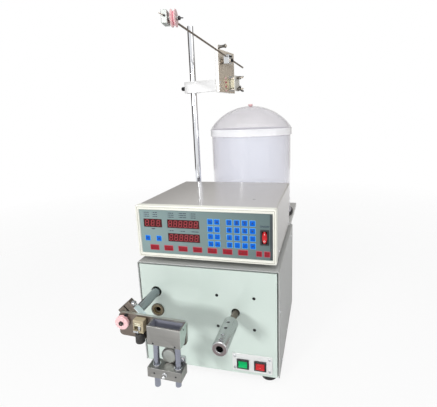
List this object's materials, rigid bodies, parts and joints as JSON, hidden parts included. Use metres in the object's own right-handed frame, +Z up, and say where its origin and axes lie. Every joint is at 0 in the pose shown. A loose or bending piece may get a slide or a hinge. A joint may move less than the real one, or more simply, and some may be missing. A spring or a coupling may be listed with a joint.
{
  "type": "coil winding machine",
  "caption": "Bench coil winder: cabinet with spindle and wire traverse, counter box on top, sprung wire tensioner on a post and a covered wire bucket behind.",
  "frame": {"origin": "middle of the cabinet's underside; the rubber feet reach below it", "axes": "+X to the machine's right as its user faces it, +Y to the back, +Z up; the spindle points along -Y"},
  "size_m": [0.3, 0.6676, 0.7767],
  "materials": {
    "green_paint": "pale green paint, satin",
    "grey_paint": "grey paint, satin",
    "box_paint": "warm grey paint, satin",
    "cream_plastic": "cream moulded plastic",
    "panel_film": "grey-green printed film over keys",
    "board_green": "circuit board with displays",
    "bright_steel": "turned or ground steel",
    "grey_steel": "dull grey steel",
    "chrome": "polished chrome plate",
    "aluminium": "machined aluminium",
    "bronze": "bronze bushing",
    "black_rubber": "black rubber",
    "black_plastic": "black plastic",
    "green_plastic": "green rocker",
    "red_plastic": "red rocker",
    "pink_ceramic": "pink ceramic wire guide",
    "beige_plastic": "beige plastic",
    "felt": "pressed felt",
    "clear_plastic": "milky translucent plastic"
  },
  "bodies": {
    "machine": {"base_plate": "grey_paint", "front_panel": "green_paint", "cover_shell": "grey_paint", "rear_panel": "grey_paint", "foot_front_left": "black_rubber", "foot_front_right": "black_rubber", "foot_rear_left": "black_rubber", "foot_rear_right": "black_rubber", "bearing_plate": "grey_steel", "spindle_housing": "grey_steel", "drive_belt": "black_rubber", "spindle_motor": "black_plastic", "traverse_bush": "bronze", "lower_bush": "grey_steel", "traverse_motor": "black_plastic", "switch_plate": "aluminium", "start_switch_body": "black_plastic", "stop_switch_body": "black_plastic", "controller_case": "box_paint", "controller_base": "box_paint", "controller_bezel": "cream_plastic", "key_panel": "panel_film", "control_board": "board_green", "power_switch_body": "black_plastic", "post_base": "black_plastic", "bucket_shelf": "grey_paint", "bucket_base": "black_plastic", "bucket_wall": "clear_plastic"},
    "spindle": {"spindle_shaft": "bright_steel", "mandrel_holder": "aluminium", "spindle_pulley": "aluminium"},
    "motor_rotor": {"motor_pulley": "aluminium"},
    "traverse": {"traverse_shaft": "grey_steel", "traverse_carriage": "aluminium"},
    "screw": {"lead_screw": "bright_steel"},
    "guide": {"guide_clamp": "aluminium", "guide_plate": "aluminium", "felt_block": "beige_plastic", "guide_trough": "aluminium", "guide_rod_left": "bright_steel", "guide_rod_right": "bright_steel"},
    "guide_wheel": {"guide_pulley": "pink_ceramic"},
    "felt_screw": {"felt_knob": "black_plastic"},
    "lower_slide": {"lower_block": "aluminium"},
    "start_button": {"start_rocker": "green_plastic"},
    "stop_button": {"stop_rocker": "red_plastic"},
    "power_button": {"power_rocker": "red_plastic"},
    "mast": {"post": "chrome"},
    "bracket": {"post_clamp_bar": "aluminium", "tension_plate": "aluminium", "felt_pad": "felt", "press_plate": "bright_steel"},
    "arm": {"tension_arm": "bright_steel", "arm_tip_block": "aluminium", "arm_spring": "bright_steel"},
    "tip_wheel": {"tip_pulley": "pink_ceramic"},
    "roller": {"top_roller": "bright_steel"},
    "nut_upper": {"wing_nut_upper": "bright_steel"},
    "nut_lower": {"wing_nut_lower": "bright_steel"},
    "lid": {"bucket_lid": "clear_plastic"}
  },
  "joints": [
    {"name": "spindle_spin", "type": "hinge", "parent": "machine", "child": "spindle", "pos_m": [0.061, -0.271, 0.14], "axis": [0, -1, 0], "continuous": true},
    {"name": "motor_spin", "type": "hinge", "parent": "machine", "child": "motor_rotor", "pos_m": [0.04, 0.029, 0.052], "axis": [0, -1, 0], "continuous": true},
    {"name": "traverse_slide", "type": "slide", "parent": "machine", "child": "traverse", "axis": [0, -1, 0], "range_m": [-0.04, 0.06]},
    {"name": "screw_spin", "type": "hinge", "parent": "machine", "child": "screw", "pos_m": [-0.066, -0.05, 0.1705], "axis": [0, -1, 0], "range_deg": [-1450, 2170]},
    {"name": "guide_swivel", "type": "hinge", "parent": "traverse", "child": "guide", "pos_m": [-0.111, -0.2425, 0.1705], "axis": [0, -1, 0], "range_deg": [-30, 30]},
    {"name": "guide_pulley_spin", "type": "hinge", "parent": "guide", "child": "guide_wheel", "pos_m": [-0.12788, -0.2608, 0.16223], "axis": [0, -1, 0], "continuous": true},
    {"name": "felt_knob_turn", "type": "hinge", "parent": "guide", "child": "felt_screw", "pos_m": [-0.08958, -0.2666, 0.15105], "axis": [0.0436, 0, 0.999], "range_deg": [-180, 180]},
    {"name": "lower_block_slide", "type": "slide", "parent": "guide", "child": "lower_slide", "axis": [0.0436, 0, 0.999], "range_m": [-0.014, 0.018]},
    {"name": "start_tilt", "type": "hinge", "parent": "machine", "child": "start_button", "pos_m": [0.0737, -0.1571, 0.0235], "axis": [1, 0, 0], "range_deg": [0, 16]},
    {"name": "stop_tilt", "type": "hinge", "parent": "machine", "child": "stop_button", "pos_m": [0.1101, -0.1571, 0.0235], "axis": [1, 0, 0], "range_deg": [0, 16]},
    {"name": "power_tilt", "type": "hinge", "parent": "machine", "child": "power_button", "pos_m": [0.12029, -0.1428, 0.2991], "axis": [1, 0, 0], "range_deg": [0, 16]},
    {"name": "post_swivel", "type": "hinge", "parent": "machine", "child": "mast", "pos_m": [-0.1228, 0.17, 0.27], "axis": [0, 0, 1], "range_deg": [-90, 90]},
    {"name": "bracket_slide", "type": "slide", "parent": "mast", "child": "bracket", "axis": [0, 0, 1], "range_m": [-0.02, 0.12]},
    {"name": "arm_tilt", "type": "hinge", "parent": "bracket", "child": "arm", "pos_m": [-0.01993, 0.15682, 0.669], "axis": [0.9703, -0.2419, 0], "range_deg": [-15, 35], "stiffness_Nm_per_rad": 0.45, "springref_deg": -19.77},
    {"name": "tip_pulley_spin", "type": "hinge", "parent": "arm", "child": "tip_wheel", "pos_m": [-0.06274, -0.07889, 0.71545], "axis": [0.9848, 0.1736, 0], "continuous": true},
    {"name": "top_roller_spin", "type": "hinge", "parent": "bracket", "child": "roller", "pos_m": [-0.02882, 0.14142, 0.702], "axis": [0.9703, -0.2419, 0], "continuous": true},
    {"name": "upper_nut_turn", "type": "hinge", "parent": "bracket", "child": "nut_upper", "pos_m": [-0.00247, 0.19874, 0.6305], "axis": [0.9703, -0.2419, 0], "range_deg": [-180, 180]},
    {"name": "lower_nut_turn", "type": "hinge", "parent": "bracket", "child": "nut_lower", "pos_m": [-0.00247, 0.19874, 0.6015], "axis": [0.9703, -0.2419, 0], "range_deg": [-180, 180]},
    {"name": "lid_lift", "type": "slide", "parent": "machine", "child": "lid", "axis": [0, 0, 1], "range_m": [0, 0.034]}
  ],
  "couplings": [
    {"joint": "motor_spin", "follows": "spindle_spin", "ratio": 1.6667},
    {"joint": "screw_spin", "follows": "traverse_slide", "rad_per_m": 628.32}
  ]
}
